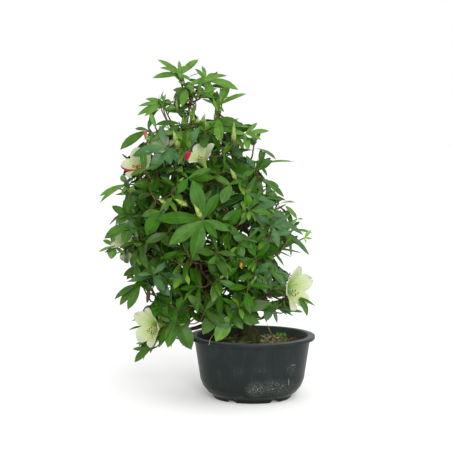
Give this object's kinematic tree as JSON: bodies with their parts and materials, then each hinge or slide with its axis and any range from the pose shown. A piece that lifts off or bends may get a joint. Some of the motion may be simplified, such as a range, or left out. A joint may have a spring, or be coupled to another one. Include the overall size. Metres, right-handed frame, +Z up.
{
  "type": "azalea shrub in an oval plastic pot",
  "caption": "Small flowering azalea shrub with a leaning trunk and whorled leaves, planted in an oval dark plastic training pot.",
  "frame": {"origin": "centre of the round pad in the middle of the pot's underside, on the surface that the pot stands on", "axes": "+Z up, +X along the pot's length to the right in the front view, -Y towards the front"},
  "size_m": [0.3065, 0.2691, 0.4867],
  "materials": {
    "pot": "moulded dark grey plastic, slightly worn",
    "soil": "granular potting soil with moss",
    "bark": "rough mossy bark",
    "branch": "thin red-brown bark",
    "foliage": "satin green leaves on thin twigs"
  },
  "bodies": {
    "root": {"pot": "pot", "soil": "soil", "trunk": "bark", "stem_right": "bark", "stem_centre": "bark", "stem_left": "bark", "bough_top_left": "branch", "bough_top_back": "branch", "bough_upper_left": "branch", "bough_upper_front": "branch", "bough_upper_back": "branch", "bough_mid_front_left": "branch", "bough_mid_front_right": "branch", "bough_mid_right_back": "branch", "bough_mid_back": "branch", "bough_low_left_back": "branch", "bough_low_left": "branch", "bough_low_front": "branch", "bough_low_right_front": "branch", "bough_low_right": "branch", "bough_low_back": "branch", "bough_foot_left": "branch", "bough_foot_front": "branch", "bough_foot_front_right": "branch", "bough_foot_right": "branch", "bough_foot_back": "branch", "bough_hanging_left": "branch", "foliage_top": "foliage", "foliage_top_right": "foliage", "foliage_top_left": "foliage", "foliage_top_back": "foliage", "foliage_upper_left": "foliage", "foliage_upper_front": "foliage", "foliage_upper_right": "foliage", "foliage_upper_back": "foliage", "foliage_mid_left": "foliage", "foliage_mid_front_left": "foliage", "foliage_mid_front_right": "foliage", "foliage_mid_right_back": "foliage", "foliage_mid_back": "foliage", "foliage_low_left_back": "foliage", "foliage_low_left": "foliage", "foliage_low_front": "foliage", "foliage_low_right_front": "foliage", "foliage_low_right": "foliage", "foliage_low_back": "foliage", "foliage_foot_left": "foliage", "foliage_foot_front": "foliage", "foliage_foot_front_right": "foliage", "foliage_foot_right": "foliage", "foliage_foot_back": "foliage", "foliage_hanging_left": "foliage"}
  },
  "joints": []
}
